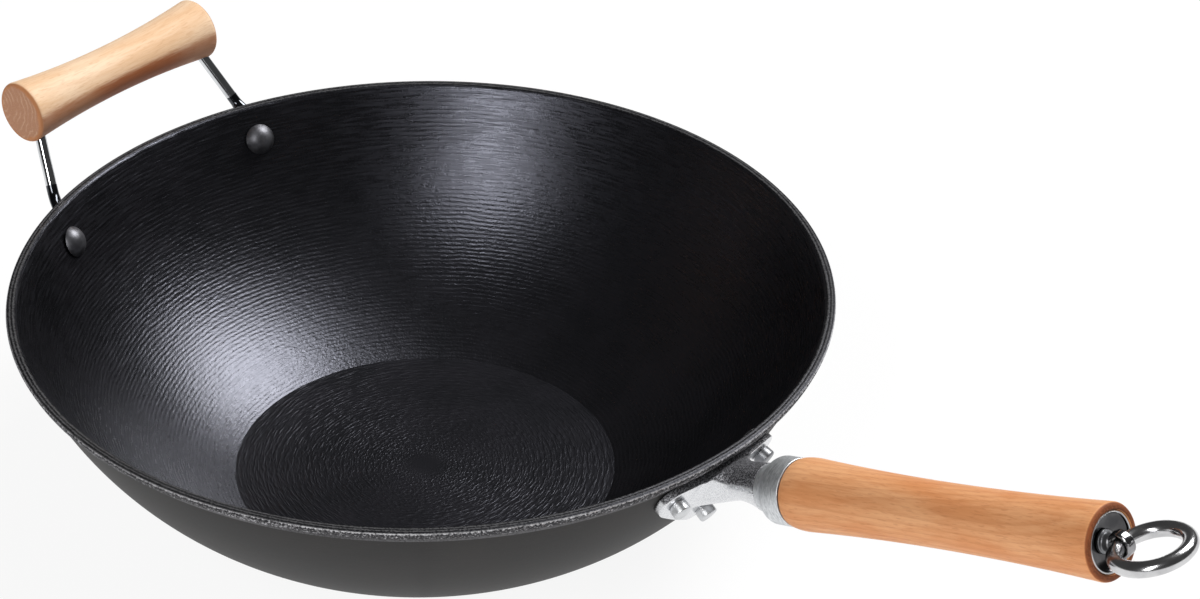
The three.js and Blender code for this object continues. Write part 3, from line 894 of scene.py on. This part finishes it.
def discOutline(discs):
    # outline round discs of (middle, radius), given anticlockwise
    tangents = []
    for (middle, radius), (nextMiddle, nextRadius) in zip(discs, discs[1:] + discs[:1]):
        run = nextMiddle - middle
        tangents.append(math.atan2(run.y, run.x) - math.acos((radius - nextRadius) / run.length))
    corners = []
    for i, (middle, radius) in enumerate(discs):
        swing = (tangents[i] - tangents[i - 1]) % (2 * math.pi)
        corners.append(arcPoints(middle, radius, tangents[i - 1], tangents[i - 1] + swing, 36))
    outline = []
    for corner, following in zip(corners, corners[1:] + corners[:1]):
        end, start = Vector(corner[-1]), Vector(following[0])
        outline += [Vector(p) for p in corner] + [end.lerp(start, i / 16) for i in range(1, 16)]
    return outline


def saddleRows():
    # the outline laid on the wall, with a rounded outer edge
    middle, normal = wallSeat(0, handle["earDrop"])
    across = Vector((0, 1, 0))
    upward = normal.cross(across)
    discs = []
    for word, (place, _) in saddleSeats.items():
        offset = place - middle
        radius = handle["toeRadius"] if word == "Lower" else handle["earRadius"]
        discs.append((Vector((offset.dot(across), offset.dot(upward))), radius))
    outline = discOutline(discs)
    heart = sum((m for m, _ in discs), Vector((0, 0))) / len(discs)
    face = wallRadius + seatGap
    back = face + handle["saddleThickness"]
    fillet = handle["saddleRound"]

    def onShell(spot, radius, sunk):
        start = middle + across * spot.x + upward * spot.y
        low, high = -20.0, 20.0
        while high - low > 1e-4:
            reach = (low + high) / 2
            p = start + normal * reach
            inside = math.hypot(math.hypot(p.x, p.y) - wallCentre.x, p.z - wallCentre.y) < radius
            low, high = (reach, high) if inside else (low, reach)
        return start + normal * (low - sunk)

    rows = [[onShell(heart, back, 0)]]
    for share in (0.3, 0.6, 0.85):
        rows.append([onShell(heart.lerp(spot, share), back, 0) for spot in outline])
    for step in range(7):
        turn = math.pi / 2 * step / 6
        inset, sunk = fillet * (1 - math.sin(turn)), fillet * (1 - math.cos(turn))
        inward = [spot + (heart - spot).normalized() * inset for spot in outline]
        rows.append([onShell(spot, back, sunk) for spot in inward])
    for share in (1, 0.6, 0.3):
        rows.append([onShell(heart.lerp(spot, share), face, 0) for spot in outline])
    return rows + [[onShell(heart, face, 0)]]


def neckRows():
    start = handleRoot + rootNormal * (seatGap + handle["saddleThickness"] / 2)
    bend = handleRoot + handleAlong * (handle["neckLength"] / 2) + handleUp * (2 * handle["neckArch"])
    steps = handle["neckSteps"]
    path = bezier((start, bend, handleRoot + handleAlong * handle["neckLength"]), steps)
    rows = []
    for i, centre in enumerate(path):
        share = i / steps
        lean = smooth(share / handle["neckWaistAt"])
        sizes = [
            waisted(share, handle["neckWaistAt"], handle["neckRoot" + way], handle["neckWaist" + way], end)
            for way, end in (("Width", handle["neckDiameter"]), ("Depth", handle["neckDiameter"]))
        ]
        along = rootNormal.lerp(handleAlong, lean).normalized()
        squareness = lerp(*handle["neckSquareness"], lean)
        rows.append(section(Vector(centre), along, handleUp, *sizes, squareness, handle["neckSides"]))
    return capped(rows)


def makeYoke():
    # saddle and neck joined under one skin, with the soft edges of a casting
    parts = [skinned(name, rows, []) for name, rows in (("saddle", saddleRows()), ("neck", neckRows()))]
    work = bmesh.new()
    for part in parts:
        work.from_mesh(part.data)
        bpy.data.objects.remove(part)
    blank = bpy.data.meshes.new("yokeBlank")
    work.to_mesh(blank)
    work.free()
    rough = bpy.data.objects.new("yokeBlank", blank)
    bpy.context.scene.collection.objects.link(rough)
    skin = rough.modifiers.new("skin", "REMESH")
    skin.mode = "VOXEL"
    skin.voxel_size = handle["castingCell"] * mm
    soften = rough.modifiers.new("soften", "SMOOTH")
    soften.iterations = handle["castingRounds"]
    graph = bpy.context.evaluated_depsgraph_get()
    mesh = bpy.data.meshes.new_from_object(rough.evaluated_get(graph))
    bpy.data.objects.remove(rough)
    mesh.materials.clear()
    mesh.materials.append(finishes["castMetal"].material)
    mesh.polygons.foreach_set("use_smooth", [True] * len(mesh.polygons))
    piece = bpy.data.objects.new("handleYoke", mesh)
    bpy.context.scene.collection.objects.link(piece)
    standIn(piece, "handle_yoke")


def makeFerrule():
    neck, radius = handle["neckDiameter"] / 2, handle["ferruleDiameter"] / 2
    start, end = ferruleStart, ferruleStart + handle["ferruleLength"]
    cone = start + handle["ferruleCollar"]
    half = handle["ferruleCone"] / 2
    curve = bezier([(neck, cone), (neck, cone + half), (radius, cone + half), (radius, cone + 2 * half)], 20)
    pocket = handle["tenonDiameter"] / 2 + handle["bore"]
    floor = gripStart - handle["tenonLength"] - seatGap
    front = rounded([(boreRadius, start), (neck, start, 0.1), curve[1]])[:-1]
    tail = rounded([curve[-2], (radius, end, 0.35), (pocket, end, 0.4), (pocket, floor)])[1:]
    profile = front + curve[1:-1] + tail + [(boreRadius, floor)]
    piece = turned("ferrule", profile, handle["sides"], [finishes["brushedMetal"]], handlePlace, joined=True)
    standIn(piece, "ferrule")


def cupDish(moved, widened):
    rim = gripEnd - handle["cupInset"] - moved
    floor = rim - handle["cupDepth"]
    edge = handle["cupDiameter"] / 2 + widened
    flat = handle["cupFlat"] / 2 + widened
    return bezier([(flat, floor), (edge - handle["cupDepth"] / 2, floor), (edge, rim)], handle["curveSteps"])


def makeGrip():
    front, end = handle["frontDiameter"] / 2, handle["endDiameter"] / 2
    drop, length = handle["shoulderDrop"], handle["shoulderLength"]
    tenon, tenonEnd = handle["tenonDiameter"] / 2, gripStart - handle["tenonLength"]
    sideStart, sideEnd = gripStart + length, gripEnd - handle["endRound"]
    curve, steps = handle["curveSteps"], handle["flankSteps"]
    turns = [math.pi / 2 * i / curve for i in range(curve + 1)]
    shoulder = [(front - drop + drop * math.sin(t), sideStart - length * math.cos(t)) for t in turns]
    flank = []
    for i in range(1, steps + 1):
        radius = waisted(i / steps, handle["waistAt"], front, handle["waistDiameter"] / 2, end)
        flank.append((radius, lerp(sideStart, sideEnd, i / steps)))
    crown = arcPoints((end - handle["endRound"], sideEnd), handle["endRound"], 0, math.pi / 2, 10)[1:]
    seat = handle["cupThickness"] + seatGap
    recess = cupDish(seat, seatGap)[::-1]
    lip = rounded([crown[-1], (handle["cupDiameter"] / 2 + seatGap, gripEnd, 0.5), recess[0]])[1:-1]
    profile = [(boreRadius, tenonEnd), (tenon, tenonEnd), (tenon, gripStart)]
    profile += rounded([(tenon, gripStart), (*shoulder[0], 0.3), shoulder[2]])[1:-1] + shoulder[2:]
    profile += flank + crown + lip + recess + [(boreRadius, cupFloor - seat)]
    piece = turned("handleGrip", profile, handle["sides"], [finishes["warmWood"]], handlePlace, joined=True)
    standIn(piece, "handle_grip")


def makeCup():
    under, over = cupDish(handle["cupThickness"], 0), cupDish(0, 0)[::-1]
    rise, width = handle["cupBead"]
    outer, top = over[0][0], over[0][1] + rise
    bead = [(outer, top, 0.4), (outer - width, top, 0.4)]
    edge = rounded([under[-2], (*under[-1], 0.3), *bead, over[2]])[1:-1]
    dish = over[2:] + [(boreRadius, cupFloor), (boreRadius, under[0][1])]
    profile = under[:-1] + edge + dish
    # the dish's dark steel is a painted dark reflection, and the rolled rim takes the pale steel as a painted
    # highlight
    bands = [0] * (len(under) - 1) + [1] * len(edge) + [0] * len(dish)
    steels = [finishes["cupSteel"], finishes["paleSteel"]]
    piece = turned("endCup", profile, handle["sides"], steels, handlePlace, bands=bands, joined=True)
    standIn(piece, "end_cup")


def makeTieRod():
    radius, collar = handle["rodDiameter"] / 2, handle["collarDiameter"] / 2
    seat = cupFloor + seatGap
    shoulder = seat + handle["collarThickness"]
    shankEnd = eyeCentre - handle["eyeHole"] / 2
    shank = rounded(
        [
            (0, rodStart),
            (radius, rodStart, 0.5),
            (radius, seat, 0.1),
            (collar, seat, 0.3),
            (collar, shoulder, 0.5),
            (radius, shoulder, 0.5),
            (radius, shankEnd, 1.2),
            (0, shankEnd),
        ]
    )
    # the rod sits in the cup and takes the darker steel: painted shade
    piece = turned("tieRod", shank, handle["rodSides"], [finishes["shadedSteel"]], hangerPlace)
    standIn(piece, "tie_rod")
    inner, outer, half = handle["eyeHole"] / 2, handle["eyeDiameter"] / 2, handle["eyeThickness"] / 2
    soft = handle["eyeRound"]
    corners = [(outer, half, soft), (outer, -half, soft), (inner, -half, soft)]
    loop = rounded([(inner, 0), (inner, half, soft), *corners, (inner, -0.1)])
    place = hangerPlace @ Matrix.Translation((0, 0, eyeCentre * mm)) @ Matrix.Rotation(math.pi / 2, 4, "X")
    # the eye's darker steel is a painted dark reflection
    eye = turned("tieRodEye", loop, handle["eyeSides"], [finishes["eyeSteel"]], place, joined=True)
    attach(eye, "wok")


def makeRing():
    wire, mean = handle["ringWire"] / 2, handle["ringDiameter"] / 2
    profile = arcPoints((mean, 0), wire, 0, 2 * math.pi, handle["wireSides"])[:-1]
    piece = turned("hangingRing", profile, handle["ringSides"], [finishes["ringSteel"]], joined=True)
    centre = Matrix.Translation((0, 0, (eyeCentre + mean) * mm))
    piece.data.transform(hangerPlace @ centre @ Matrix.Rotation(math.pi / 2, 4, "Y"))
    standIn(piece, "hanging_ring", "ring")


makeYoke()
for word, seat in saddleSeats.items():
    clamped = seatGap + handle["saddleThickness"]
    names = ("yokeRivet" + word, "yoke_rivet_" + word.lower(), "cast_metal")
    steel = finishes["shadedSteel" if word == "Right" else "paleSteel"]  # the far one takes the darker steel: painted shade, as it sits behind the neck
    makeRivet(names, seat, handle["rivetHead"], clamped, steel)
makeFerrule()
makeGrip()
makeCup()
makeTieRod()
makeRing()
print("long handle made")

# Floor, light and camera
stage = {
    "floorSize": 8.0,
    "floorLevel": -0.0002,
    "floorTone": srgb(250, 250, 250),
    "glow": 0.9,  # share of plain white that camera and mirror rays see in the floor
    "horizon": 0.3,
    "overhead": 0.06,
    "fade": 0.06,  # height of the pale band at the horizon
}
lampTarget = (0.03, 0, 0.06)
lampSetup = {
    # azimuth, elevation, distance, width, height, watts
    "backSoftbox": (83, 50, 3.0, 1.6, 1.4, 108),
    "frontSoftbox": (-69, 33.5, 3.0, 0.75, 1.8, 49),
}
cameraSetup = {
    "place": (1.0747475, -1.0635513, 1.0779209),
    "azimuth": -47.593,
    "elevation": 33.1534,
    "roll": 0.5454,
    "lens": 126.0,
    "sensor": 36.0,
}


def direction(azimuth, elevation):
    a, e = math.radians(azimuth), math.radians(elevation)
    return Vector((math.cos(a) * math.cos(e), math.sin(a) * math.cos(e), math.sin(e)))


def makeFloor():
    finish = Finish("paleFloor")
    finish.set(Base_Color=(*stage["floorTone"], 1.0), Roughness=0.9, Specular_IOR_Level=0.1)
    rays = finish.node("ShaderNodeLightPath", {}, {}).outputs
    seen = [Value(finish, rays["Is " + kind + " Ray"]) for kind in ("Camera", "Glossy", "Transmission")]
    share = (seen[0] + seen[1] + seen[2]).math("MINIMUM", 1.0) * stage["glow"]
    glow = finish.node("ShaderNodeEmission", {}, {"Strength": 1.0})
    parts = {0: share, 1: finish.shader.outputs[0], 2: glow.outputs[0]}
    finish.feed(finish.surface, finish.node("ShaderNodeMixShader", {}, parts).outputs[0])
    half, low = stage["floorSize"] / 2, stage["floorLevel"]
    sheet = bpy.data.meshes.new("paleFloor")
    corners = [(-half, -half, low), (half, -half, low), (half, half, low), (-half, half, low)]
    sheet.from_pydata(corners, [], [(0, 1, 2, 3)])
    sheet.materials.append(finish.material)
    floor = bpy.data.objects.new("paleFloor", sheet)
    bpy.context.scene.collection.objects.link(floor)


def makeSky():
    world = bpy.data.worlds.new("softRoom")
    bpy.context.scene.world = world
    nodes = Nodes(world)
    inputs = {
        "Value": nodes.split("Generated")[2],
        "From Max": stage["fade"],
        "To Min": stage["horizon"],
        "To Max": stage["overhead"],
    }
    ramp = nodes.node("ShaderNodeMapRange", {}, inputs)
    sky = nodes.tree.nodes["Background"].inputs
    nodes.feed(sky["Color"], (1, 1, 1, 1))
    nodes.feed(sky["Strength"], ramp.outputs["Result"])


def makeLamps():
    for name, (azimuth, elevation, distance, width, height, watts) in lampSetup.items():
        out = direction(azimuth, elevation)
        light = bpy.data.lights.new(name, "AREA")
        light.shape = "RECTANGLE"
        light.size, light.size_y = width, height
        light.energy = watts
        lamp = bpy.data.objects.new(name, light)
        lamp.location = Vector(lampTarget) + out * distance
        lamp.rotation_euler = out.to_track_quat("Z", "Y").to_euler()
        bpy.context.scene.collection.objects.link(lamp)


def makeCamera():
    back = direction(cameraSetup["azimuth"], cameraSetup["elevation"])
    level = Vector((0, 0, 1)).cross(back).normalized()
    turn = Matrix((level, back.cross(level), back)).transposed().to_4x4()
    roll = Matrix.Rotation(math.radians(cameraSetup["roll"]), 4, "Z")
    view = bpy.data.cameras.new("camera")
    view.sensor_fit = "HORIZONTAL"
    view.sensor_width = cameraSetup["sensor"]
    view.lens = cameraSetup["lens"]
    camera = bpy.data.objects.new("camera", view)
    camera.matrix_world = Matrix.Translation(cameraSetup["place"]) @ turn @ roll
    bpy.context.scene.collection.objects.link(camera)
    bpy.context.scene.camera = camera


makeFloor()
makeSky()
makeLamps()
makeCamera()
bpy.context.scene.view_settings.view_transform = "Standard"
print("stage, light and camera made")
